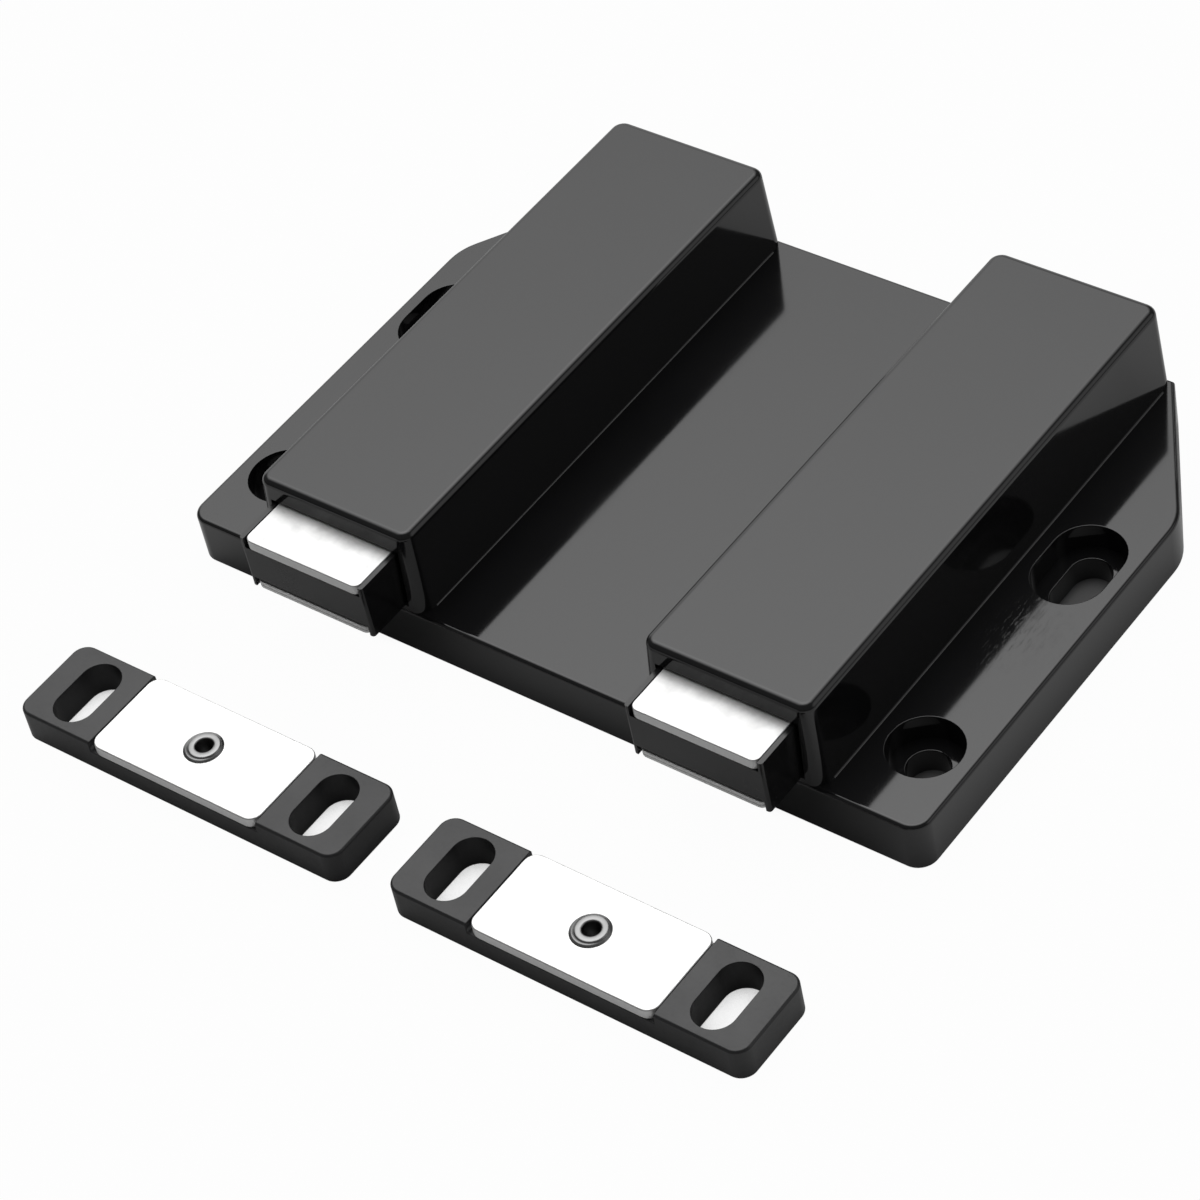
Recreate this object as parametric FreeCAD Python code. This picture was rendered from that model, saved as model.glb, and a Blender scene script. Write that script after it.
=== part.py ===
import FreeCAD, Part
import math
import os
from FreeCAD import Vector

# Twin magnetic touch catch for a pair of cabinet doors, with its two strike plates.
# Millimetres. X runs along the width, +Y from the doors into the cabinet, +Z away from
# the face that is screwed down. The origin is the middle of that face's footprint.

# Housing: one moulding, a plate with two long humps over the plunger channels
base_width = 87.0
base_depth = 60.2
base_height = 5.5
base_edge_radius = 0.45
front_corner_radius = 2.0
rear_chamfer_length = 16.0
chamfer_corner_radius = 6.0
flange_width = 10.35
hump_wall = 1.4
hump_draft = 0.75
hump_front_draft = 0.7
hump_rear_draft = 0.1
hump_corner_radius = 1.4
hump_edge_radius = 0.8
hump_foot_radius = 0.15
ceiling_thickness = 2.3
front_wall = 2.2
rear_wall = 2.2
skin = 2.0
outer_wall = 2.0
rib_thickness = 1.2

# Screw holes in the two flanges: a round one in front, a slot behind it
hole_from_side = 5.3
hole_from_front = 8.9
slot_from_rear = 25.4
slot_travel = 3.2
screw_hole_diameter = 4.2
counterbore_diameter = 7.4
counterbore_depth = 2.8
boss_wall = 1.2

# Plunger: moulded carrier, magnet and the two steel pole plates
plunger_width = 15.3
plunger_projection = 4.7
push_travel = 4.2
carrier_side = 0.5
carrier_nose = 1.0
carrier_edge_radius = 0.3
nose_gap = 0.4
magnet_length = 12.0
magnet_height = 4.4
upper_pole_thickness = 1.2
lower_pole_thickness = 0.8
pole_overlap = 1.2
pole_corner_radius = 0.8
carrier_floor = 1.2
skirt_thickness = 1.4
spring_seat_wall = 3.0
carrier_rear_room = 2.8

# Clearances
side_clearance = 0.25
slide_clearance = 0.25
stop_clearance = 0.3
pocket_clearance = 0.08
fit_clearance = 0.05

# How far a shape that cuts runs past the face it opens, and how far fused shapes lap
overcut = 1.0
lap = 0.1

# Wire of the springs and followers: its section has this many sides
wire_sides = 6

# Return spring
spring_length = 27.0
spring_diameter = 4.8
spring_wire = 0.55
spring_turns = 8
spring_turn_steps = 12
spring_bore_diameter = 5.2
spring_height = 3.1
spigot_diameter = 3.0
spigot_length = 4.0

# Heart cam under the carrier and the wire follower that runs in it
follower_room = 3.3
follower_wire = 0.8
follower_bend = 0.8
follower_bend_steps = 3
follower_shank_height = 2.0
follower_pivot_rise = 3.2
cam_clearance = 0.15
cam_depth = 1.2
cam_step = 0.2
cam_swing = 2.7
latch_travel = 2.6
cam_from_rear = 6.5
abutment_thickness = 4.2

# Bottom covers, their screws and the leaf springs
cover_thickness = 1.6
cover_ledge = 1.0
cover_corner_radius = 1.5
cover_clearance = 0.1
tongue_width = 8.0
tongue_depth = 0.6
cover_screw_diameter = 2.0
cover_screw_head = 3.9
cover_screw_length = 7.0
recess_arm = 1.2
recess_slit = 0.27
recess_depth = 0.6
cover_screw_from_rear = 7.5
cover_screw_from_wall = 2.1
screw_boss_diameter = 4.6
leaf_thickness = 0.25
leaf_width = 3.0
leaf_foot = 5.0
leaf_reach = 17.0
leaf_gap = 0.15
peg_diameter = 1.4
peg_height = 0.5
leaf_crown = 2.0
leaf_lip = 1.5
leaf_lip_drop = 0.4

# Strike plates, lying in front of the housing as they do before they are fitted
strike_length = 40.0
strike_width = 10.0
strike_height = 3.65
strike_corner_radius = 1.6
strike_edge_chamfer = 0.2
strike_from_housing = 22.2
strike_gap = 6.0
strike_steel_length = 20.8
strike_steel_thickness = 1.2
strike_steel_radius = 1.3
strike_slot_pitch = 29.9
strike_slot_width = 4.3
strike_slot_travel = 3.6
rivet_bore = 1.8
rivet_barrel = 2.8
rivet_flange = 4.0
rivet_flange_height = 0.35
rivet_tail_recess = 0.9
rivet_tail_curl = 0.35
rivet_tail_step = 0.1

# Places worked out from the sizes above
front_y = -base_depth / 2
rear_y = base_depth / 2
channel_half = plunger_width / 2 + side_clearance
hump_top_half = channel_half + hump_wall
hump_foot_half = hump_top_half + hump_draft
hump_low_z = base_height / 2
hump_x = base_width / 2 - flange_width - hump_foot_half

slab_z = cover_thickness + follower_room
lower_pole_z = slab_z + carrier_floor
magnet_z = lower_pole_z + lower_pole_thickness
upper_pole_z = magnet_z + magnet_height
plunger_top_z = upper_pole_z + upper_pole_thickness
nose_z = magnet_z + nose_gap
ceiling_z = plunger_top_z + slide_clearance
total_height = ceiling_z + ceiling_thickness
hump_lean = hump_draft / (total_height - hump_low_z)
spring_z = plunger_top_z - spring_height

nose_y = front_y - plunger_projection
magnet_front_y = nose_y + carrier_nose
magnet_rear_y = magnet_front_y + magnet_length
pole_rear_y = magnet_rear_y + pole_overlap
spring_front_y = pole_rear_y + spring_seat_wall
abutment_y = spring_front_y + spring_length
abutment_rear_y = abutment_y + abutment_thickness
carrier_rear_y = abutment_y - push_travel - carrier_rear_room
shoulder_y = front_y + front_wall + stop_clearance
pivot_y = abutment_y + abutment_thickness / 2
cam_start_y = carrier_rear_y - cam_from_rear
follower_length = pivot_y - cam_start_y
cam_end_y = pivot_y - math.sqrt(follower_length ** 2 - cam_swing ** 2) - push_travel
shank_z = cover_thickness + follower_shank_height
pole_half = plunger_width / 2 - carrier_side - pocket_clearance
skirt_z = cover_thickness + slide_clearance
cover_half = channel_half + cover_ledge
cover_front = front_y + cover_ledge
cover_rear = rear_y - cover_ledge
inner_front = front_y + front_wall
inner_rear = rear_y - rear_wall
cover_screw_x = channel_half - cover_screw_from_wall
cover_screw_y = rear_y - cover_screw_from_rear
peg_y = abutment_rear_y + leaf_foot / 2
slot_y = rear_y - slot_from_rear
hole_x = base_width / 2 - hole_from_side
hole_y = front_y + hole_from_front
strike_x = (strike_length + strike_gap) / 2
strike_y = front_y - strike_from_housing
strike_steel_z = strike_height - strike_steel_thickness


def block(x0, x1, y0, y1, z0, z1):
    return Part.makeBox(x1 - x0, y1 - y0, z1 - z0, Vector(x0, y0, z0))


def rod(radius, x, y, z0, z1):
    return Part.makeCylinder(radius, z1 - z0, Vector(x, y, z0))


def prism(points, z0, z1):
    corners = [Vector(x, y, z0) for x, y in points]
    face = Part.Face(Part.makePolygon(corners + corners[:1]))
    return face.extrude(Vector(0, 0, z1 - z0))


def runs_along(edge, axis):
    """Whether an edge is straight and parallel to the given direction."""
    if len(edge.Vertexes) != 2:
        return False
    span = edge.Vertexes[1].Point - edge.Vertexes[0].Point
    return span.Length > 1e-6 and abs(span.dot(axis)) > 0.9999 * edge.Length


def upright_edges(solid):
    return [e for e in solid.Edges if runs_along(e, Vector(0, 0, 1))]


def edges_at(edges, y):
    return [e for e in edges if abs(e.CenterOfMass.y - y) < 1e-3]


def rounded_bar(half_x, y0, y1, z0, z1, radius):
    """A block centred on X whose four upright edges are rounded."""
    bar = block(-half_x, half_x, y0, y1, z0, z1)
    return bar.makeFillet(radius, upright_edges(bar))


def oblong(start, end, radius, z0, z1):
    """A slot shape from one centre to the other, with round ends."""
    dx = end[0] - start[0]
    dy = end[1] - start[1]
    length = math.hypot(dx, dy)
    solid = rod(radius, start[0], start[1], z0, z1)
    if length < 1e-6:
        return solid
    nx = -dy / length * radius
    ny = dx / length * radius
    sides = [(start[0] + nx, start[1] + ny), (start[0] - nx, start[1] - ny)]
    sides += [(end[0] - nx, end[1] - ny), (end[0] + nx, end[1] + ny)]
    return solid.fuse([prism(sides, z0, z1), rod(radius, end[0], end[1], z0, z1)]).removeSplitter()


def moved(solid, x, y=0.0):
    copy = solid.copy()
    copy.translate(Vector(x, y, 0))
    return copy


def plate_outline(inset, z0, z1):
    """Footprint of the housing: round front corners, long bevels at the rear."""
    half = base_width / 2
    foot = hump_x + hump_foot_half
    bevel_y = rear_y - rear_chamfer_length
    points = [(-half, front_y), (half, front_y), (half, bevel_y)]
    points += [(foot, rear_y), (-foot, rear_y), (-half, bevel_y)]
    outline = prism(points, z0, z1)
    for y, radius in ((front_y, front_corner_radius), (bevel_y, chamfer_corner_radius)):
        corners = edges_at(upright_edges(outline), y)
        outline = outline.makeFillet(radius, corners)
    if inset == 0:
        return outline
    bottom = min(outline.Faces, key=lambda f: f.CenterOfMass.z)
    ring = bottom.OuterWire.makeOffset2D(-inset)
    return Part.Face(ring).extrude(Vector(0, 0, z1 - z0))


def plate():
    solid = plate_outline(0, 0, base_height)
    rim = [e for e in solid.Edges if e.CenterOfMass.z > base_height - 0.01]
    return solid.makeFillet(base_edge_radius, rim)


def hump():
    """One hump, centred on X, tapering a little towards its top, front and rear."""
    rings = []
    low_level = (hump_low_z, hump_foot_half, front_y, rear_y)
    top_front = front_y + hump_front_draft
    top_level = (total_height, hump_top_half, top_front, rear_y - hump_rear_draft)
    for z, half, front, rear in (low_level, top_level):
        ring = [Vector(-half, front, z), Vector(half, front, z)]
        ring += [Vector(half, rear, z), Vector(-half, rear, z)]
        rings.append(ring)
    low, top = rings
    loops = [low[::-1], top]
    for i in range(4):
        j = (i + 1) % 4
        loops.append([low[i], low[j], top[j], top[i]])
    faces = [Part.Face(Part.makePolygon(loop + loop[:1])) for loop in loops]
    solid = Part.makeSolid(Part.makeShell(faces))
    corners = [e for e in solid.Edges if e.BoundBox.ZLength > base_height]
    solid = solid.makeFillet(hump_corner_radius, corners)
    rim = [e for e in solid.Edges if e.BoundBox.ZMin > ceiling_z]
    return solid.makeFillet(hump_edge_radius, rim)


def hump_half(z):
    """Half width of a hump at the given height."""
    return hump_foot_half - hump_lean * (z - hump_low_z)


def underside_pocket():
    """The hollow under the plate, less the walls, bosses and ribs that stay in it."""
    pocket_top = base_height - skin
    pocket = plate_outline(outer_wall, -overcut, pocket_top)
    half = base_width / 2
    thin = rib_thickness / 2
    keep = [block(-thin, thin, front_y, rear_y, -overcut, pocket_top)]
    boss_radius = counterbore_diameter / 2 + boss_wall
    for side in (-1, 1):
        inner = side * hump_x - hump_foot_half
        outer = side * hump_x + hump_foot_half
        keep.append(block(inner, outer, front_y, rear_y, -overcut, pocket_top))
        keep.append(rod(boss_radius, side * hole_x, hole_y, -overcut, pocket_top))
        keep.append(oblong(*slot_ends(side), boss_radius, -overcut, pocket_top))
    for share in (1 / 3, 2 / 3):
        y = front_y + share * base_depth
        keep.append(block(-half, half, y - thin, y + thin, -overcut, pocket_top))
    return pocket.cut(keep)


def slot_ends(side):
    """Centres of the two round ends of the flange slot on one side."""
    x = side * hole_x
    return (x, slot_y - slot_travel / 2), (x, slot_y + slot_travel / 2)


def screw_openings():
    """Counterbored round holes in front and counterbored slots behind, in both flanges."""
    floor_z = base_height - counterbore_depth
    top_z = base_height + overcut
    cuts = []
    for side in (-1, 1):
        x = side * hole_x
        cuts.append(rod(screw_hole_diameter / 2, x, hole_y, -overcut, top_z))
        cuts.append(rod(counterbore_diameter / 2, x, hole_y, floor_z, top_z))
        cuts.append(oblong(*slot_ends(side), screw_hole_diameter / 2, -overcut, top_z))
        cuts.append(oblong(*slot_ends(side), counterbore_diameter / 2, floor_z, top_z))
    return cuts


def channel():
    """The hollow of one hump with its front window, less the wall and posts inside it."""
    half = channel_half
    thin = rib_thickness / 2
    hollow = block(-half, half, inner_front, inner_rear, -overcut, ceiling_z)
    abutment = block(-half, half, abutment_y, abutment_rear_y, slab_z, ceiling_z)
    pivot_radius = follower_wire / 2 + fit_clearance
    pivot_top_z = slab_z + follower_pivot_rise + fit_clearance
    abutment = abutment.cut(rod(pivot_radius, 0, pivot_y, slab_z, pivot_top_z))
    seat = Vector(0, abutment_y, spring_z)
    spigot = Part.makeCylinder(spigot_diameter / 2, spigot_length, seat, Vector(0, -1, 0))
    rib = block(-thin, thin, abutment_rear_y, inner_rear, ceiling_z - skin, ceiling_z)
    hollow = hollow.cut([abutment, spigot, rib, screw_post(-1), screw_post(1)])
    window_z = lower_pole_z - slide_clearance
    window = block(-half, half, front_y - overcut, inner_front + lap, window_z, ceiling_z)
    return hollow.fuse([window, cover_seat()])


def screw_post(side):
    """Post with a pilot hole for one of the cover's screws."""
    x = side * cover_screw_x
    pilot_radius = cover_screw_diameter / 2 + fit_clearance
    post = rod(screw_boss_diameter / 2, x, cover_screw_y, cover_thickness, ceiling_z)
    return post.cut(rod(pilot_radius, x, cover_screw_y, 0, cover_screw_length + skin))


def cover_seat():
    """Rebate round the channel's open bottom, with the groove for the cover's tongue."""
    top_z = cover_thickness
    corner = cover_corner_radius
    seat = rounded_bar(cover_half, cover_front, cover_rear, -overcut, top_z, corner)
    half = tongue_width / 2
    groove_front = cover_front - tongue_depth
    groove = block(-half, half, groove_front, inner_front, top_z / 2, top_z)
    return seat.fuse(groove)


def housing():
    body = plate().cut(underside_pocket())
    stands = hump().fuse([foot_cove(-1), foot_cove(1)])
    body = body.fuse([moved(stands, side * hump_x) for side in (-1, 1)])
    body = body.cut(screw_openings())
    body = body.cut([moved(channel(), side * hump_x) for side in (-1, 1)])
    return body.removeSplitter()


def foot_cove(side):
    """Small hollow curve where one side of a hump meets the plate."""
    r = hump_foot_radius
    foot = hump_half(base_height)
    rounded = hump_corner_radius + base_edge_radius
    y = front_y + rounded
    inside = Vector(side * (foot - r), y, base_height - r)
    outer = Vector(side * (foot + r), y, base_height)
    upper = Vector(side * hump_half(base_height + r), y, base_height + r)
    sag = r * (1 - math.sqrt(0.5))
    middle = Vector(side * (foot + sag), y, base_height + sag)
    edges = [Part.LineSegment(upper, inside), Part.LineSegment(inside, outer)]
    edges.append(Part.Arc(outer, middle, upper))
    face = Part.Face(Part.Wire([edge.toShape() for edge in edges]))
    return face.extrude(Vector(0, base_depth - 2 * rounded, 0))


def cover():
    """Bottom cover of one channel: tongue in front, two countersunk holes, peg for the leaf."""
    gap = cover_clearance
    front = cover_front + gap
    corner = cover_corner_radius - gap
    solid = rounded_bar(cover_half - gap, front, cover_rear - gap, 0, cover_thickness, corner)
    half = tongue_width / 2 - gap
    low_z = cover_thickness / 2 + gap
    tongue = block(-half, half, front - tongue_depth + gap, front + lap, low_z, cover_thickness)
    solid = solid.fuse(tongue)
    for side in (-1, 1):
        solid = solid.cut(screw_seat(side * cover_screw_x))
    peg_top = cover_thickness + leaf_thickness + peg_height
    peg = rod(peg_diameter / 2, 0, peg_y, cover_thickness - lap, peg_top)
    return solid.fuse(peg).removeSplitter()


def screw_seat(x):
    """Clearance hole and conical countersink for one cover screw."""
    head = cover_screw_head / 2 + fit_clearance
    shank = cover_screw_diameter / 2 + cover_clearance
    hole = rod(shank, x, cover_screw_y, -overcut, cover_thickness + overcut)
    cone = Part.makeCone(head, shank, head - shank, Vector(x, cover_screw_y, 0))
    return hole.fuse([cone, rod(head, x, cover_screw_y, -overcut, 0)])


def cover_screw(side):
    """Countersunk self-tapping screw with a cross recess."""
    x = side * cover_screw_x
    head = cover_screw_head / 2
    shank = cover_screw_diameter / 2
    tip_z = cover_screw_length
    profile = [Vector(0, 0, 0), Vector(head, 0, 0), Vector(shank, 0, head - shank)]
    profile += [Vector(shank, 0, tip_z), Vector(0, 0, tip_z)]
    face = Part.Face(Part.makePolygon(profile + profile[:1]))
    screw = face.revolve(Vector(0, 0, 0), Vector(0, 0, 1), 360)
    arm = recess_arm
    slit = recess_slit
    cross = [block(-arm, arm, -slit, slit, -overcut, recess_depth)]
    cross.append(block(-slit, slit, -arm, arm, -overcut, recess_depth))
    return moved(screw.cut(cross), x, cover_screw_y)


def carrier():
    """Moulded plunger body: nose with the magnet pocket, spring bore and heart cam behind."""
    half = plunger_width / 2
    head = block(-half, half, nose_y, shoulder_y, lower_pole_z, plunger_top_z)
    head = head.makeFillet(carrier_edge_radius, edges_at(upright_edges(head), nose_y))
    body = block(-half, half, shoulder_y, carrier_rear_y, slab_z, plunger_top_z)
    inner = half - skirt_thickness
    left_skirt = block(-half, -inner, shoulder_y, carrier_rear_y, skirt_z, slab_z)
    right_skirt = block(inner, half, shoulder_y, carrier_rear_y, skirt_z, slab_z)
    solid = head.fuse([body, left_skirt, right_skirt])
    bore_length = carrier_rear_y - spring_front_y + overcut
    seat = Vector(0, spring_front_y, spring_z)
    bore = Part.makeCylinder(spring_bore_diameter / 2, bore_length, seat, Vector(0, 1, 0))
    return solid.cut([magnet_pocket(), bore, heart_track()]).removeSplitter()


def magnet_pocket():
    """Room for the upper plate, the magnet and the lower plate, one under the other."""
    half = plunger_width / 2 - carrier_side
    gap = pocket_clearance
    front = nose_y - overcut
    rear = pole_rear_y + gap
    upper = block(-half, half, front, rear, upper_pole_z, plunger_top_z + overcut)
    middle = block(-half, half, magnet_front_y, magnet_rear_y + gap, magnet_z, upper_pole_z)
    lower = block(-half, half, front, rear, lower_pole_z, magnet_z)
    mouth = block(-half, half, front, shoulder_y, lower_pole_z - overcut, nose_z)
    return upper.fuse([middle, lower, mouth])


def heart_track():
    """Closed track of four legs round a heart-shaped island, each leg at its own depth."""
    width = follower_wire / 2 + cam_clearance
    start = (0.0, cam_start_y)
    pushed = (cam_swing, cam_end_y)
    latched = (0.0, cam_start_y - latch_travel)
    released = (-cam_swing, cam_end_y)
    legs = [(start, pushed, cam_depth), (pushed, latched, cam_depth + cam_step)]
    legs += [(latched, released, cam_depth + 2 * cam_step), (released, start, cam_depth)]
    low_z = slab_z - overcut
    parts = [oblong(a, b, width, low_z, slab_z + depth) for a, b, depth in legs]
    return parts[0].fuse(parts[1:])


def pole_plate(z0, thickness):
    """Steel plate with rounded front corners, its front edge level with the carrier's nose."""
    solid = block(-pole_half, pole_half, nose_y, pole_rear_y, z0, z0 + thickness)
    return solid.makeFillet(pole_corner_radius, edges_at(upright_edges(solid), nose_y))


def magnet():
    front = magnet_front_y + pocket_clearance
    return block(-pole_half, pole_half, front, magnet_rear_y, magnet_z, upper_pole_z)


def bent_wire(path, diameter):
    """Wire of a many-sided section that follows the path, mitred at each bend."""
    along = (path[1] - path[0]).normalize()
    outward = Vector(1, 0, 0)
    outward = (outward - along * outward.dot(along)).normalize()
    across = along.cross(outward)
    section = []
    for i in range(wire_sides):
        angle = 2 * math.pi * (i + 0.5) / wire_sides
        offset = outward * math.cos(angle) + across * math.sin(angle)
        section.append(path[0] + offset * (diameter / 2))
    profile = Part.makePolygon(section + section[:1])
    return Part.makePolygon(path).makePipeShell([profile], True, False, 1)


def spring():
    """Open-coil return spring between the carrier's bore and the housing's inner wall."""
    radius = (spring_diameter - spring_wire) / 2
    seat = spring_wire / 2 + fit_clearance
    steps = spring_turns * spring_turn_steps
    rise = (spring_length - 2 * seat) / steps
    path = []
    for i in range(steps + 1):
        angle = 2 * math.pi * i / spring_turn_steps
        x = radius * math.cos(angle)
        z = spring_z + radius * math.sin(angle)
        path.append(Vector(x, spring_front_y + seat + rise * i, z))
    return bent_wire(path, spring_wire)


def follower():
    """Bent wire: one end turns in the housing's inner wall, the other runs in the cam."""
    bend = follower_bend
    centre_z = shank_z + bend
    path = [Vector(0, cam_start_y, slab_z + cam_depth - cam_clearance)]
    for centre_y, first in ((cam_start_y + bend, 180), (pivot_y - bend, 270)):
        for i in range(follower_bend_steps + 1):
            angle = math.radians(first + 90 * i / follower_bend_steps)
            y = centre_y + bend * math.cos(angle)
            path.append(Vector(0, y, centre_z + bend * math.sin(angle)))
    path.append(Vector(0, pivot_y, slab_z + follower_pivot_rise))
    return bent_wire(path, follower_wire)


def leaf_spring():
    """Steel strip staked to the cover, bent up to hold the follower in its track."""
    contact_z = shank_z - follower_wire / 2 - leaf_gap - leaf_thickness
    foot_z = cover_thickness
    foot_front = abutment_rear_y
    crown_y = foot_front + leaf_foot - leaf_reach
    line = [(foot_front + leaf_foot, foot_z), (foot_front, foot_z)]
    line += [(crown_y + leaf_crown, contact_z), (crown_y, contact_z)]
    line.append((crown_y - leaf_lip, contact_z - leaf_lip_drop))
    lower = [Vector(-leaf_width / 2, y, z) for y, z in line]
    upper = [Vector(-leaf_width / 2, y, z + leaf_thickness) for y, z in reversed(line)]
    face = Part.Face(Part.makePolygon(lower + upper + lower[:1]))
    strip = face.extrude(Vector(leaf_width, 0, 0))
    hole_radius = peg_diameter / 2 + fit_clearance
    return strip.cut(rod(hole_radius, 0, peg_y, foot_z - overcut, foot_z + overcut))


def strike_base():
    """Moulded bar with two screw slots and a recess for the steel, on the origin."""
    half = strike_length / 2
    side_y = strike_width / 2
    above = strike_height + overcut
    bar = rounded_bar(half, -side_y, side_y, 0, strike_height, strike_corner_radius)
    rim = [e for e in bar.Edges if abs(e.CenterOfMass.z - strike_height) < 1e-3]
    bar = bar.makeChamfer(strike_edge_chamfer, rim)
    recess = strike_steel_length / 2 + pocket_clearance
    cuts = [block(-recess, recess, -side_y - overcut, side_y + overcut, strike_steel_z, above)]
    for side in (-1, 1):
        start = (side * strike_slot_pitch / 2, -strike_slot_travel / 2)
        end = (start[0], strike_slot_travel / 2)
        cuts.append(oblong(start, end, strike_slot_width / 2, -overcut, above))
    cuts.append(rod(rivet_barrel / 2 + fit_clearance, 0, 0, -overcut, above))
    cuts.append(rod(rivet_flange / 2 + fit_clearance, 0, 0, -overcut, rivet_tail_recess))
    return bar.cut(cuts)


def strike_steel():
    half = strike_steel_length / 2
    side_y = strike_width / 2
    steel = rounded_bar(half, -side_y, side_y, strike_steel_z, strike_height, strike_steel_radius)
    return steel.cut(rod(rivet_barrel / 2 + fit_clearance, 0, 0, 0, strike_height + overcut))


def strike_rivet():
    """Hollow rivet: turned flange on the steel, rolled tail in the bar's underside."""
    bore = rivet_bore / 2
    barrel = rivet_barrel / 2
    flange = rivet_flange / 2
    top = strike_height + rivet_flange_height
    ease = rivet_flange_height / 2
    tail = rivet_tail_recess - fit_clearance
    step = rivet_tail_step
    edge = flange - rivet_tail_curl
    profile = [(bore, step), (edge, tail), (barrel, tail), (barrel, strike_height)]
    profile += [(flange, strike_height), (flange, top - ease), (flange - ease, top), (bore, top)]
    corners = [Vector(x, 0, z) for x, z in profile]
    face = Part.Face(Part.makePolygon(corners + corners[:1]))
    return face.revolve(Vector(0, 0, 0), Vector(0, 0, 1), 360)


def write(node, solid):
    if not solid.isValid() or len(solid.Solids) != 1:
        raise ValueError(node + " is not one sound solid")
    solid.Solids[0].exportStep(os.path.join("parts", node + ".step"))
    print(node, round(solid.Volume, 1))


def main():
    os.makedirs("parts", exist_ok=True)
    write("housing", housing())
    channel_pieces = {
        "cover": cover(),
        "cover_screw_a": cover_screw(-1),
        "cover_screw_b": cover_screw(1),
        "carrier": carrier(),
        "magnet": magnet(),
        "upper_pole": pole_plate(upper_pole_z, upper_pole_thickness),
        "lower_pole": pole_plate(lower_pole_z, lower_pole_thickness),
        "return_spring": spring(),
        "cam_follower": follower(),
        "leaf_spring": leaf_spring(),
    }
    strike_pieces = {
        "strike_base": strike_base(),
        "strike_steel": strike_steel(),
        "strike_rivet": strike_rivet(),
    }
    for name, side in (("left", -1), ("right", 1)):
        for piece, solid in channel_pieces.items():
            write(name + "_" + piece, moved(solid, side * hump_x))
        for piece, solid in strike_pieces.items():
            write(name + "_" + piece, moved(solid, side * strike_x, strike_y))


main()
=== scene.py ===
import bpy, bmesh, math
from mathutils import Euler, Matrix, Vector


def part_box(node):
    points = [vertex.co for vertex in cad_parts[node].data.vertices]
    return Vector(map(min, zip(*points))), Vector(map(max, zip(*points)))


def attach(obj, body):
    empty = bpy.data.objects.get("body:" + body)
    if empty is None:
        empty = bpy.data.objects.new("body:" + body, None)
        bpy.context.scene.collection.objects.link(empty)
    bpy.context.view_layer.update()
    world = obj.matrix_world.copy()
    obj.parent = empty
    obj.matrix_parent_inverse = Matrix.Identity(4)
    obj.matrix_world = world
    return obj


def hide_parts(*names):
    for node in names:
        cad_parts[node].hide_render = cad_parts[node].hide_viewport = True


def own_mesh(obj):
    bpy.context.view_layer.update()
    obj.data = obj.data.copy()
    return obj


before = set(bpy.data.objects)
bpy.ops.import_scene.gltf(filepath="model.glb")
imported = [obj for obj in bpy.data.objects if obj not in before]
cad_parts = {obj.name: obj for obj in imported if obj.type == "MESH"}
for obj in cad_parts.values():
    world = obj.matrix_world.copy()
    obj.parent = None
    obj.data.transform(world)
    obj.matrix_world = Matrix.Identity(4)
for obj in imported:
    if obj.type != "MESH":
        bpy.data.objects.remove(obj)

for stray in ("Cube", "Light", "Camera"):  # what a new Blender file holds
    if stray in bpy.data.objects:
        bpy.data.objects.remove(bpy.data.objects[stray])
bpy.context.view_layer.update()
print("frame loaded")

sides = ("left", "right")
mm = 0.001
weld = 0.001 * mm  # corners nearer than this become one


# Shader maths: one wrapped socket with its operators, and one way to add any other node
class Signal:
    def __init__(self, tree, socket=None):
        self.tree = tree
        self.socket = socket

    def node(self, kind, settings=None, inputs=None, output=0):
        made = self.tree.nodes.new(kind)
        for name, value in (settings or {}).items():
            setattr(made, name, value)
        for name, value in (inputs or {}).items():
            if isinstance(value, Signal):
                self.tree.links.new(value.socket, made.inputs[name])
            else:
                made.inputs[name].default_value = value
        return Signal(self.tree, made.outputs[output] if made.outputs else None)

    def math(self, operation, *values, clamp=False):
        numbered = dict(enumerate(values))
        return self.node("ShaderNodeMath", {"operation": operation, "use_clamp": clamp}, numbered)

    def __add__(self, other):
        return self.math("ADD", self, other)

    def __radd__(self, other):
        return self.math("ADD", other, self)

    def __sub__(self, other):
        return self.math("SUBTRACT", self, other)

    def __rsub__(self, other):
        return self.math("SUBTRACT", other, self)

    def __mul__(self, other):
        return self.math("MULTIPLY", self, other)

    def __rmul__(self, other):
        return self.math("MULTIPLY", other, self)

    def __truediv__(self, other):
        return self.math("DIVIDE", self, other)

    def __rtruediv__(self, other):
        return self.math("DIVIDE", other, self)

    def clamped(self):
        return self.math("ADD", self, 0.0, clamp=True)


def alongAxis(place, axis):
    return place.node("ShaderNodeSeparateXYZ", None, {0: place}, axis)


def coordinates(start, kind):
    return start.node("ShaderNodeTexCoord", None, None, kind)


def between(value, low, high, outLow=0.0, outHigh=1.0, course="LINEAR"):
    inputs = {0: value, 1: low, 2: high, 3: outLow, 4: outHigh}
    return value.node("ShaderNodeMapRange", {"clamp": True, "interpolation_type": course}, inputs)


def noiseOn(place, pattern):
    # a pattern with a stretch is squeezed by it along each axis, and turned about the upright one
    if "stretch" in pattern:
        turn = (0, 0, pattern.get("turn", 0.0))
        squeeze = {"Vector": place, "Scale": pattern["stretch"], "Rotation": turn}
        place = place.node("ShaderNodeMapping", {"vector_type": "POINT"}, squeeze)
    inputs = {"Vector": place, "Scale": pattern.get("scale", 1.0), "Detail": pattern["detail"],
              "Roughness": pattern["rough"], "Distortion": pattern.get("warp", 0.0)}
    return place.node("ShaderNodeTexNoise", {"noise_dimensions": "3D"}, inputs)


def marksOn(place, pattern):
    # marks lie where the noise is above the pattern's cut
    return between(noiseOn(place, pattern), *pattern["cut"])


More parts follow.
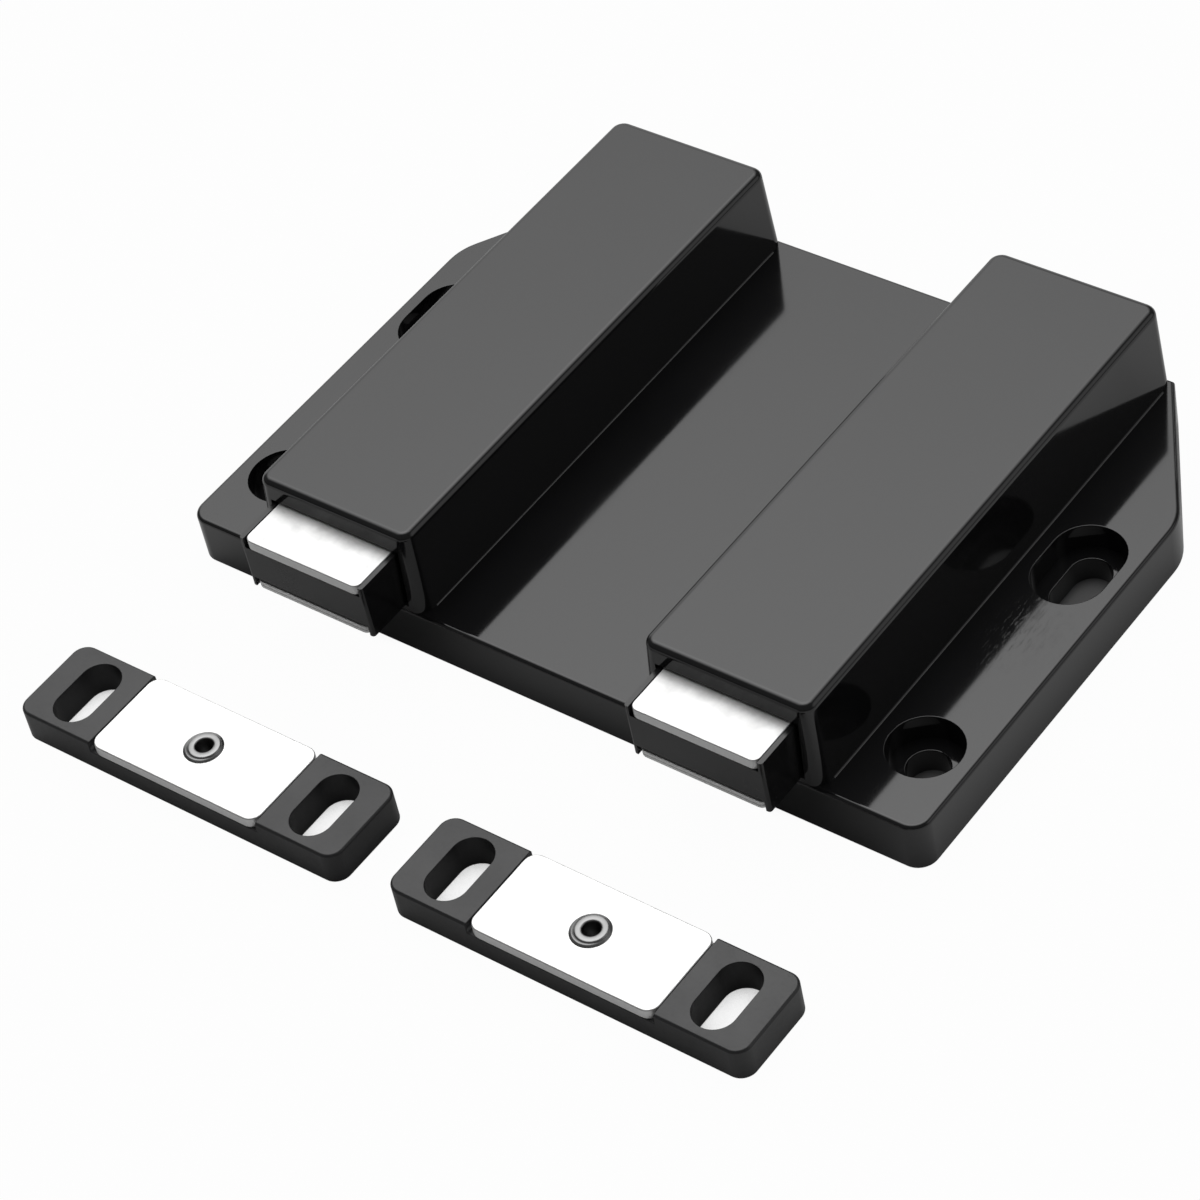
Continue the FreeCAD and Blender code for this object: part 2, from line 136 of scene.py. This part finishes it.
def tinted(factor, dark, light):
    inputs = {0: factor, 6: (*dark, 1), 7: (*light, 1)}  # 6 and 7 are the mix node's colours
    return factor.node("ShaderNodeMix", {"data_type": "RGBA"}, inputs, 2)


def bumped(height, distance):
    return height.node("ShaderNodeBump", None, {"Height": height, "Distance": distance})


def newMaterial(name, fixed):
    material = bpy.data.materials.new(name)
    material.use_nodes = True
    tree = material.node_tree
    tree.nodes.clear()
    shader = tree.nodes.new("ShaderNodeBsdfPrincipled")
    output = tree.nodes.new("ShaderNodeOutputMaterial")
    tree.links.new(shader.outputs[0], output.inputs["Surface"])
    for socketName, value in fixed.items():
        shader.inputs[socketName].default_value = value
    return material, shader, coordinates(Signal(tree), "Object")


def feed(shader, **signals):
    names = {"colour": "Base Color", "roughness": "Roughness", "normal": "Normal"}
    for key, signal in signals.items():
        signal.tree.links.new(signal.socket, shader.inputs[names[key]])


# Glossy black plastic of the housing: soft waves, dust, fine scratches and one handled patch
glossyPlastic = {
    "dark": (0.0055, 0.0055, 0.0058), "light": (0.0100, 0.0100, 0.0106),
    "roughness": (0.06, 0.11), "indexOfRefraction": 1.52,
    "cloud": {"scale": 55.0, "detail": 4.0, "rough": 0.6, "cut": (0.35, 0.7)},
    "waves": {"scale": 38.0, "detail": 1.0, "rough": 0.4},
    "dust": {"scale": 2600.0, "detail": 3.0, "rough": 0.7, "cut": (0.6, 0.8)},
    "scratches": {"stretch": (900.0, 40.0, 200.0), "turn": 0.6, "detail": 3.0, "rough": 0.65,
                  "cut": (0.66, 0.74)},
    "hairlines": {"stretch": (60.0, 2400.0, 400.0), "turn": -0.35, "detail": 2.0, "rough": 0.6,
                  "cut": (0.68, 0.75)},
    "scratched": (0.52, 0.62), "hairlined": (0.55, 0.68),  # the parts of the cloud that carry them
    "handling": {"stretch": (5200.0, 620.0, 620.0), "turn": 0.9, "detail": 3.0, "rough": 0.6, "warp": 0.8,
                 "cut": (0.57, 0.68)},
    "handledAt": (39.8 * mm, -5.0 * mm, 5.5 * mm),
    "handledWithin": (7.0 * mm, 1.4 * mm),  # it starts at the first distance and is full at the second
    "scratchRough": 0.12, "dustRough": 0.05,
    "waveHeight": 0.02 * mm, "scratchDepth": 0.06, "handledDepth": 0.12, "dustHeight": 0.012,
}


def mouldedGloss(name, look):
    material, shader, place = newMaterial(name, {"IOR": look["indexOfRefraction"]})
    cloud = noiseOn(place, look["cloud"])
    dust = noiseOn(place, look["dust"])
    scratch = marksOn(place, look["scratches"]) * between(cloud, *look["scratched"])
    scratch = scratch + marksOn(place, look["hairlines"]) * between(cloud, *look["hairlined"])
    apart = {0: place, 1: look["handledAt"]}
    away = place.node("ShaderNodeVectorMath", {"operation": "DISTANCE"}, apart, "Value")
    handled = marksOn(place, look["handling"]) * between(away, *look["handledWithin"])
    scratch = (scratch + handled).clamped()
    roughness = between(cloud, *look["cloud"]["cut"], *look["roughness"]) + scratch * look["scratchRough"]
    roughness = roughness + between(dust, *look["dust"]["cut"]) * look["dustRough"]
    height = noiseOn(place, look["waves"]) + scratch * -look["scratchDepth"]
    height = height + handled * -look["handledDepth"] + dust * look["dustHeight"]
    feed(shader, colour=tinted(cloud, look["dark"], look["light"]), roughness=roughness,
         normal=bumped(height, look["waveHeight"]))
    return material


# Grained black plastic: the plungers, the covers and, paler and duller, the strikes
grainedPlastic = {
    "dark": (0.004, 0.004, 0.0043), "light": (0.009, 0.009, 0.0096),
    "roughness": (0.24, 0.36), "indexOfRefraction": 1.5,
    "cloud": {"scale": 90.0, "detail": 3.0, "rough": 0.6, "cut": (0.35, 0.7)},
    "grain": {"scale": 3200.0, "detail": 3.0, "rough": 0.65, "cut": (0.45, 0.75)},
    "flow": {"stretch": (40.0, 260.0, 260.0), "detail": 2.0, "rough": 0.5},
    "grainRough": 0.06, "grainShare": 0.6, "grainHeight": 0.006 * mm,
}
plungerGrain = {**grainedPlastic, "roughness": (0.16, 0.26)}
strikeGrain = {
    **grainedPlastic,
    "dark": (0.012, 0.012, 0.0126), "light": (0.02, 0.02, 0.021), "roughness": (0.36, 0.46),
}


def mouldedGrain(name, look):
    material, shader, place = newMaterial(name, {"IOR": look["indexOfRefraction"]})
    cloud = noiseOn(place, look["cloud"])
    grain = noiseOn(place, look["grain"])
    roughness = between(cloud, *look["cloud"]["cut"], *look["roughness"])
    roughness = roughness + between(grain, *look["grain"]["cut"]) * look["grainRough"]
    height = grain * look["grainShare"] + noiseOn(place, look["flow"])
    feed(shader, colour=tinted(cloud, look["dark"], look["light"]), roughness=roughness,
         normal=bumped(height, look["grainHeight"]))
    return material


# Metals: streaks, clouds and pits, and on the steel plates a dark line painted at each listed height:
# painted shade along the rounded top edges, and a dark line across the middle of the lower pole's edge
nickel = {
    "dark": (0.19, 0.19, 0.19), "light": (0.28, 0.28, 0.28),
    "roughness": (0.24, 0.34), "indexOfRefraction": 2.5, "metalShare": 1.0,
    "streaks": {"stretch": (900.0, 900.0, 900.0), "detail": 4.0, "rough": 0.6},
    "cloud": {"scale": 120.0, "detail": 4.0, "rough": 0.6, "cut": (0.5, 0.75)},
    "pits": {"scale": 1900.0, "detail": 2.0, "rough": 0.6, "cut": (0.72, 0.8)},
    "streakRough": (0.3, 0.7), "streakTint": (0.25, 0.7), "cloudRough": 0.08,
    "shares": (0.7, 0.3, 0.25),  # of streaks, clouds and pits in the colour
    "streakDepth": 0.004 * mm, "pitDepth": 0.8, "rims": (),
}
zinc = {**nickel, "dark": (0.42, 0.43, 0.46), "light": (0.68, 0.69, 0.72)}
wireSteel = {**nickel, "dark": (0.32, 0.32, 0.33), "light": (0.55, 0.55, 0.56), "roughness": (0.28, 0.38)}
rolledSteel = {
    **nickel,
    # near-white colour on a part-metal surface: a painted reflection of the bright light overhead, so the
    # plates read white also where they mirror dark parts
    "dark": (0.90, 0.90, 0.90), "light": (0.97, 0.97, 0.96), "roughness": (0.40, 0.48), "metalShare": 0.6,
    "streaks": {"stretch": (2600.0, 90.0, 900.0), "detail": 4.0, "rough": 0.6}, "streakDepth": 0.003 * mm,
    "paintedLineWaver": {"stretch": (420.0, 420.0, 0.0), "detail": 3.0, "rough": 0.6},
    "rimReach": 0.09 * mm, "rimPaintedShade": 0.4,
}
# heights of the painted lines: painted shade just under the tops of the upper pole and the strike plate,
# and a dark line at the lower pole's middle height
upperTop, strikeTop = (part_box(node)[1].z for node in ("left_upper_pole", "left_strike_steel"))
lowerMiddle = sum(corner.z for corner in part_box("left_lower_pole")) / 2
poleSteel = {**rolledSteel, "rims": (upperTop - 0.06 * mm, lowerMiddle)}
strikeSteel = {**rolledSteel, "rims": (strikeTop - 0.07 * mm,)}


def brushedMetal(name, look):
    fixed = {"Metallic": look["metalShare"], "IOR": look["indexOfRefraction"]}
    material, shader, place = newMaterial(name, fixed)
    cloud = noiseOn(place, look["cloud"])
    streak = noiseOn(place, look["streaks"])
    pit = marksOn(place, look["pits"])
    roughness = between(streak, *look["streakRough"], *look["roughness"])
    roughness = roughness + between(cloud, *look["cloud"]["cut"]) * look["cloudRough"]
    streakShare, cloudShare, pitShare = look["shares"]
    shade = between(streak, *look["streakTint"]) * streakShare + cloud * cloudShare - pit * pitShare
    colour = tinted(shade.clamped(), look["dark"], look["light"])
    # painted shade: the colour darkens in a thin, wavering line at each of these heights
    for rim in look["rims"]:
        height = alongAxis(place, "Z") + (noiseOn(place, look["paintedLineWaver"]) - 0.5) * look["rimReach"]
        offRim = height.math("ABSOLUTE", height - rim)
        paintedRimLine = between(offRim, 0.0, look["rimReach"], look["rimPaintedShade"], 1.0)
        colour = colour.node("ShaderNodeVectorMath", {"operation": "SCALE"}, {0: colour, "Scale": paintedRimLine})
    height = streak + pit * -look["pitDepth"]
    feed(shader, colour=colour, roughness=roughness, normal=bumped(height, look["streakDepth"]))
    return material


sinteredFerrite = {
    "dark": (0.022, 0.022, 0.024), "light": (0.055, 0.053, 0.052),
    "roughness": (0.5, 0.72), "indexOfRefraction": 1.8,
    "grain": {"scale": 2200.0, "detail": 5.0, "rough": 0.7, "cut": (0.3, 0.7)},
    "cloud": {"scale": 260.0, "detail": 3.0, "rough": 0.6},
    "grainShare": 0.6, "cloudShare": 0.4, "grainDepth": 0.02 * mm,
}


def sintered(name, look):
    material, shader, place = newMaterial(name, {"IOR": look["indexOfRefraction"]})
    grain = noiseOn(place, look["grain"])
    shade = grain * look["grainShare"] + noiseOn(place, look["cloud"]) * look["cloudShare"]
    feed(shader, colour=tinted(shade.clamped(), look["dark"], look["light"]),
         roughness=between(grain, *look["grain"]["cut"], *look["roughness"]),
         normal=bumped(grain, look["grainDepth"]))
    return material


finishes = {
    "housing_black": mouldedGloss("housingGloss", glossyPlastic),
    "cover_black": mouldedGrain("coverGrain", grainedPlastic),
    "carrier_black": mouldedGrain("plungerGrain", plungerGrain),
    "strike_black": mouldedGrain("strikeGrain", strikeGrain),
    "pole_steel": brushedMetal("poleSteel", poleSteel),
    "strike_steel": brushedMetal("strikeSteel", strikeSteel),
    "rivet_steel": brushedMetal("rivetNickel", nickel),
    "zinc_steel": brushedMetal("screwZinc", zinc),
    "spring_steel": brushedMetal("springWire", wireSteel),
    "ferrite": sintered("magnetFerrite", sinteredFerrite),
}
print("materials made:", len(finishes))

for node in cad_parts.values():
    for index, material in enumerate(node.data.materials):
        node.data.materials[index] = finishes[material.name]


def placed(name, mesh):
    piece = bpy.data.objects.new(name, mesh)
    bpy.context.scene.collection.objects.link(piece)
    return piece


def finished(holder):
    # the holder's shape after its modifiers, as a plain mesh
    bpy.context.view_layer.update()
    shape = holder.evaluated_get(bpy.context.evaluated_depsgraph_get())
    mesh = bpy.data.meshes.new_from_object(shape)
    holder.modifiers.clear()
    bpy.data.objects.remove(holder)
    return mesh


# Mouldings and plates: the CAD shape with its outward edges eased
easing = {"flat": 0.4, "sharperThan": 28.0, "steps": 3, "faceWeight": 100}  # the angles in degrees
# unclamped, because the housing's shortest edges would hold the easing of all the others back
housingMoulding = {"edge": 0.10 * mm, "slot": "housing_black", "clamped": False}
plungerPieces = {
    "carrier": {"edge": 0.12 * mm, "slot": "carrier_black"},
    "upper_pole": {"edge": 0.10 * mm, "slot": "pole_steel"},
    "lower_pole": {"edge": 0.08 * mm, "slot": "pole_steel"},
}
strikePieces = {
    "strike_base": {"edge": 0.18 * mm, "slot": "strike_black"},
    "strike_steel": {"edge": 0.14 * mm, "slot": "strike_steel"},
}


def easedMesh(node):
    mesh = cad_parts[node].data.copy()
    if "custom_normal" in mesh.attributes:
        mesh.attributes.remove(mesh.attributes["custom_normal"])
    work = bmesh.new()  # here the loose triangles are joined, and those that lie flat become one face
    work.from_mesh(mesh)
    bmesh.ops.remove_doubles(work, verts=work.verts, dist=weld)
    flat = math.radians(easing["flat"])
    bmesh.ops.dissolve_limit(work, angle_limit=flat, verts=work.verts, edges=work.edges)
    weights = work.edges.layers.float.new("bevel_weight_edge")
    sharp = math.radians(easing["sharperThan"])
    for edge in work.edges:
        bend = edge.calc_face_angle_signed() if edge.is_manifold else 0.0
        edge[weights] = 1.0 if bend > sharp else 0.0
        edge.smooth = bend > -sharp  # an inward corner stays as crisp as the mould left it
    work.to_mesh(mesh)
    work.free()
    for face in mesh.polygons:
        face.use_smooth = True
    return mesh


def withEasedEdges(name, node, body, look):
    holder = placed(name + "Holder", easedMesh(node))
    bevel = holder.modifiers.new("ease", "BEVEL")
    bevel.width = look["edge"]
    bevel.segments = easing["steps"]
    bevel.limit_method = "WEIGHT"
    bevel.use_clamp_overlap = look.get("clamped", True)
    flatter = holder.modifiers.new("flatter", "WEIGHTED_NORMAL")
    flatter.mode = "FACE_AREA"
    flatter.weight = easing["faceWeight"]
    flatter.keep_sharp = True
    piece = placed(name, finished(holder))
    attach(piece, body)
    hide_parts(node)


withEasedEdges("housingMoulding", "housing", "root", housingMoulding)
for side in sides:
    for node, look in plungerPieces.items():
        withEasedEdges(side + "_eased_" + node, side + "_" + node, side + "_plunger", look)
    for node, look in strikePieces.items():
        withEasedEdges(side + "_eased_" + node, side + "_" + node, "root", look)
print("mouldings and plates eased")


# Wires and turned parts, grown by Geometry Nodes
def treeStart(name, sizes):
    tree = bpy.data.node_groups.new(name, "GeometryNodeTree")
    tree.interface.new_socket("Geometry", in_out="OUTPUT", socket_type="NodeSocketGeometry")
    tree.interface.new_socket("Geometry", in_out="INPUT", socket_type="NodeSocketGeometry")
    for title in sizes:
        tree.interface.new_socket(title, in_out="INPUT", socket_type="NodeSocketFloat")
    source = tree.nodes.new("NodeGroupInput")
    return tree, {title: Signal(tree, source.outputs[title]) for title in ("Geometry", *sizes)}


def treeEnd(tree, shape, material):
    smooth = shape.node("GeometryNodeSetShadeSmooth", None, {"Geometry": shape, "Shade Smooth": True})
    whole = smooth.node("GeometryNodeRealizeInstances", None, {"Geometry": smooth})
    coated = whole.node("GeometryNodeSetMaterial", None, {"Geometry": whole, "Material": material})
    coated.node("NodeGroupOutput", None, {0: coated})
    return tree


def circleOf(start, steps, radius):
    sizes = {"Resolution": steps, "Radius": radius}
    return start.node("GeometryNodeCurvePrimitiveCircle", {"mode": "RADIUS"}, sizes)


def wireAlong(route, size, look):
    profile = circleOf(route, look["wireSides"], size["Wire"] / 2)
    parts = {"Curve": route, "Profile Curve": profile, "Fill Caps": True}
    return route.node("GeometryNodeCurveToMesh", None, parts)


def coilTree(look, material):
    tree, size = treeStart("coiledWire", ("Wire", "Coil", "Length", "Turns"))
    reach = (size["Coil"] - size["Wire"]) / 2
    spiral = reach.node("GeometryNodeCurveSpiral", None, {
        "Resolution": look["stepsPerTurn"], "Rotations": size["Turns"],
        "Start Radius": reach, "End Radius": reach, "Height": size["Length"] - size["Wire"]})
    return treeEnd(tree, wireAlong(spiral, size, look), material)


def bentTree(look, material):
    tree, size = treeStart("bentWire", ("Wire", "Bend"))
    route = size["Geometry"].node("GeometryNodeMeshToCurve", None, {"Mesh": size["Geometry"]})
    bends = route.node("GeometryNodeFilletCurve", {"mode": "POLY"}, {
        "Curve": route, "Radius": size["Bend"], "Count": look["bendSteps"], "Limit Radius": True})
    return treeEnd(tree, wireAlong(bends, size, look), material)


def turnedTree(look, material):
    # the outline goes round a guide ring, from which its points are counted
    tree, size = treeStart("turnedPart", ("Guide",))
    outline = size["Geometry"].node("GeometryNodeMeshToCurve", None, {"Mesh": size["Geometry"]})
    ring = circleOf(outline, look["sides"], size["Guide"])
    turned = ring.node("GeometryNodeCurveToMesh", None, {"Curve": ring, "Profile Curve": outline})
    closed = turned.node("GeometryNodeMergeByDistance", None, {"Geometry": turned, "Distance": weld})
    return treeEnd(tree, closed, material)


def grown(name, tree, sizes, points=(), closed=False):
    mesh = bpy.data.meshes.new(name + "Holder")
    steps = [(i, i + 1) for i in range(len(points) - 1)]
    if closed:
        steps.append((len(points) - 1, 0))
    mesh.from_pydata(points, steps, [])
    holder = placed(name + "Holder", mesh)
    grow = holder.modifiers.new("grow", "NODES")
    grow.node_group = tree
    for item in tree.interface.items_tree:
        if item.in_out == "INPUT" and item.name in sizes:
            grow[item.identifier] = sizes[item.name]
    return placed(name, finished(holder))


# Return springs: they push the plungers out and shorten as these go in; each is grown here at its full
# length
returnSpring = {
    "wire": 0.55 * mm, "coil": 4.8 * mm, "turns": 8.0, "wireSides": 12, "stepsPerTurn": 40,
    "squeezed": 0.844,  # its length at the end of the stroke, as a share
}
coiled = coilTree(returnSpring, finishes["spring_steel"])
for side in sides:
    low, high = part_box(side + "_return_spring")
    middle = (low + high) / 2
    sizes = {"Wire": returnSpring["wire"], "Coil": returnSpring["coil"],
             "Length": high.y - low.y, "Turns": returnSpring["turns"]}
    spring = grown(side + "ReturnSpring", coiled, sizes)
    along = Matrix.Rotation(-math.pi / 2, 4, "X")
    lift = Matrix.Translation((0, 0, returnSpring["wire"] / 2))  # the wire's middle starts inside the box
    spring.data.transform(Matrix.Translation((middle.x, low.y, middle.z)) @ along @ lift)
    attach(spring, "root")
    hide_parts(side + "_return_spring")
    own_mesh(spring)


# Cam followers: a straight shank with both ends turned up
camFollower = {"wire": 0.8 * mm, "bend": 0.8 * mm, "bendSteps": 8, "wireSides": 16}


def pinTop(node, y):
    # the height of the end that stands at y
    corners = [corner.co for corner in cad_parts[node].data.vertices]
    return max(corner.z for corner in corners if abs(corner.y - y) < camFollower["wire"])


bent = bentTree(camFollower, finishes["spring_steel"])
for side in sides:
    node = side + "_cam_follower"
    low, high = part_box(node)
    thick = camFollower["wire"] / 2
    x, shank = (low.x + high.x) / 2, low.z + thick
    front, rear = low.y + thick, high.y - thick
    route = [(x, front, pinTop(node, front)), (x, front, shank),
             (x, rear, shank), (x, rear, pinTop(node, rear))]
    sizes = {"Wire": camFollower["wire"], "Bend": camFollower["bend"]}
    wire = grown(side + "CamFollower", bent, sizes, route)
    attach(wire, side + "_follower")
    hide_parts(node)
print("springs coiled and followers bent")


# Hollow rivets: a rolled ring on a sloping flange, a little off centre
strikeRivet = {
    "bore": 0.88 * mm, "barrel": 1.36 * mm, "tail": 1.6 * mm,
    # radius and height over the plate, in millimetres
    "ring": ((0.88, -0.5), (0.88, 0.2), (0.91, 0.29), (0.98, 0.34), (1.1, 0.36), (1.3, 0.36), (1.44, 0.35),
             (1.52, 0.335), (1.58, 0.3), (1.62, 0.25), (1.66, 0.21)),
    "flange": ((1.72, 0.19), (1.78, 0.17), (1.84, 0.125), (1.9, 0.08), (1.96, 0.03), (2.0, 0.0)),
    "tailTop": 0.75 * mm, "tailMiddle": 0.65 * mm, "tailFoot": 0.5 * mm, "tailSwell": 0.08 * mm,
    "barrelFoot": 0.12 * mm, "boreFoot": 0.15 * mm, "footRim": (1.0 * mm, 0.08 * mm),
    "askew": (0.1 * mm, 0.08 * mm), "ringReach": 1.67 * mm, "sides": 72, "guide": 3.0 * mm,
}


def rivetOutline(look, plateZ):
    # up the bore, over the ring and the flange, down the barrel and round the tail
    bore, barrel, tail = look["bore"], look["barrel"], look["tail"]
    head = [(radius * mm, plateZ + height * mm) for radius, height in look["ring"] + look["flange"]]
    stem = [(barrel, plateZ), (barrel, look["tailTop"])]
    swell = (tail + look["tailSwell"], look["tailMiddle"])
    foot = [(tail, look["tailTop"]), swell, (tail, look["tailFoot"]), (barrel, look["barrelFoot"])]
    return [(bore, look["boreFoot"]), *head, *stem, *foot, look["footRim"]]


turned = turnedTree(strikeRivet, finishes["rivet_steel"])
for side in sides:
    low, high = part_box(side + "_strike_rivet")
    middle = (low + high) / 2
    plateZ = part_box(side + "_strike_steel")[1].z
    guide = strikeRivet["guide"]
    points = [(radius - guide, -height, 0) for radius, height in rivetOutline(strikeRivet, plateZ)]
    rivet = grown(side + "StrikeRivet", turned, {"Guide": guide}, points, closed=True)
    for corner in rivet.data.vertices:  # the rolled ring moves askew, the flange and the stem stay
        if corner.co.z > plateZ and corner.co.xy.length < strikeRivet["ringReach"]:
            corner.co.x += strikeRivet["askew"][0]
            corner.co.y += strikeRivet["askew"][1]
    rivet.data.transform(Matrix.Translation((middle.x, middle.y, 0)))
    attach(rivet, "root")
    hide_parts(side + "_strike_rivet")
print("rivets turned")


# Studio floor: pale paper with a painted shadow beneath the housing, and pale cards at its sides and back
floorPaper = {
    "half": 1.6, "sunk": 0.02 * mm, "shade": 0.45, "shown": 0.975,
    "shadowReach": 7.0 * mm, "shadow": (0.10, 0.34), "shadowSamples": 8,
    "underInset": 0.9 * mm, "underSlope": 1.54, "underBevel": 79.5 * mm, "underPaintedShadow": 0.16,
    "cardFrom": (36 * mm, 28 * mm), "cardReach": 14 * mm, "cardGlow": (0.02, 0.33),
}


def rayKind(start, kind):
    return start.node("ShaderNodeLightPath", None, None, kind)


def makeFloor(look):
    half = look["half"]
    mesh = bpy.data.meshes.new("studioFloor")
    corners = [(-half, -half), (half, -half), (half, half), (-half, half)]
    mesh.from_pydata([(x, y, -look["sunk"]) for x, y in corners], [], [(0, 1, 2, 3)])
    floor = placed("studioFloor", mesh)
    material = bpy.data.materials.new("floorPaper")
    material.use_nodes = True
    tree = material.node_tree
    tree.nodes.clear()
    start = Signal(tree)
    glow = start.node("ShaderNodeEmission", None, {"Color": (1, 1, 1, 1), "Strength": 1.0})
    place = coordinates(start, "Object")
    x, y = alongAxis(place, "X"), alongAxis(place, "Y")
    across, along = x.math("ABSOLUTE", x), y.math("ABSOLUTE", y)
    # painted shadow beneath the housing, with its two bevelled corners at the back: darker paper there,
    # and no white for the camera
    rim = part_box("housing")[1]
    paintedShadowBeneath = across.math("LESS_THAN", across, rim.x - look["underInset"])
    paintedShadowBeneath = paintedShadowBeneath * along.math("LESS_THAN", along, rim.y - look["underInset"])
    paintedShadowBeneath = paintedShadowBeneath * across.math("LESS_THAN", across * look["underSlope"] + y, look["underBevel"])
    shade = tinted(paintedShadowBeneath, (look["shade"],) * 3, (look["underPaintedShadow"],) * 3)
    paper = start.node("ShaderNodeBsdfDiffuse", None, {"Color": shade})
    # the cards are seen in reflections only
    (cardX, cardY), reach = look["cardFrom"], look["cardReach"]
    card = between(across, cardX, cardX + reach, course="SMOOTHSTEP")
    card = card.math("MAXIMUM", card, between(y, cardY, cardY + reach, course="SMOOTHSTEP"))
    # the camera sees white paper, with a soft shadow close to the object
    samples = {"samples": look["shadowSamples"]}
    openSky = start.node("ShaderNodeAmbientOcclusion", samples, {"Distance": look["shadowReach"]}, "AO")
    openSky = between(openSky, *look["shadow"], course="SMOOTHSTEP")
    seen = rayKind(start, "Is Camera Ray") * look["shown"] * openSky * (1 - paintedShadowBeneath)
    mirrored = (rayKind(start, "Is Glossy Ray") + rayKind(start, "Is Transmission Ray")).clamped()
    share = (seen + mirrored * between(card, 0.0, 1.0, *look["cardGlow"])).clamped()
    mix = start.node("ShaderNodeMixShader", None, {0: share, 1: paper, 2: glow})
    start.node("ShaderNodeOutputMaterial", None, {"Surface": mix})
    mesh.materials.append(material)


# Studio light: a broad soft key overhead, a plain fill that fades to the horizon, and a side card
softLight = {
    "keyFrom": (-0.328, 0.289, 0.900), "keyLevel": 3.44, "keyAngles": (3.4, 46.0),  # in degrees
    "fillFrom": (0.78, 0.5, 0.38), "fillEdge": (0.86, 0.985), "fillLevel": (0.14, 0.68),
    "horizonLevel": 0.2, "horizonTop": 0.3,
    "sideFrom": (-0.75, 0.65, 0.05), "sideEdge": (0.80, 0.95), "sideLevel": 0.9,
}


def towards(way, direction):
    aim = tuple(Vector(direction).normalized())
    return way.node("ShaderNodeVectorMath", {"operation": "DOT_PRODUCT"}, {0: way, 1: aim}, "Value")


def makeWorld(look):
    world = bpy.data.worlds.new("studioLight")
    bpy.context.scene.world = world
    world.use_nodes = True
    tree = world.node_tree
    tree.nodes.clear()
    start = Signal(tree)
    way = coordinates(start, "Generated")
    facing = towards(way, look["keyFrom"])
    angle = facing.math("ARCCOSINE", facing.math("MINIMUM", facing, 0.99999))  # safely under one
    inner, outer = (math.radians(edge) for edge in look["keyAngles"])
    key = between(angle, inner, outer, look["keyLevel"], 0.0, "SMOOTHSTEP")
    fill = between(towards(way, look["fillFrom"]), *look["fillEdge"], *look["fillLevel"], "SMOOTHSTEP")
    height = alongAxis(way, "Z")
    fill = fill * between(height, 0.0, look["horizonTop"], look["horizonLevel"], 1.0, "SMOOTHSTEP")
    side = between(towards(way, look["sideFrom"]), *look["sideEdge"], 0.0, look["sideLevel"], "SMOOTHSTEP")
    camera = rayKind(start, "Is Camera Ray")  # which sees plain white
    strength = (key + fill + side) * (1 - camera) + camera
    sky = start.node("ShaderNodeBackground", None, {"Color": (1, 1, 1, 1), "Strength": strength})
    start.node("ShaderNodeOutputWorld", None, {"Surface": sky})


makeFloor(floorPaper)
makeWorld(softLight)


# Camera where the photograph was taken from, its turn in degrees
viewpoint = {
    "place": (204.926 * mm, -218.497 * mm, 286.019 * mm), "turn": (44.6859, 9.2216, 36.6655),
    "lens": 126.786, "sensor": 36.0, "nearest": 10 * mm,
}


def makeCamera(look):
    data = bpy.data.cameras.new("photoView")
    data.sensor_width = look["sensor"]
    data.lens = look["lens"]
    data.clip_start = look["nearest"]
    camera = bpy.data.objects.new("photoView", data)
    bpy.context.scene.collection.objects.link(camera)
    turn = Euler([math.radians(angle) for angle in look["turn"]])
    camera.matrix_world = Matrix.LocRotScale(Vector(look["place"]), turn, None)
    bpy.context.scene.camera = camera


makeCamera(viewpoint)
bpy.context.scene.view_settings.view_transform = "Standard"
print("studio ready")
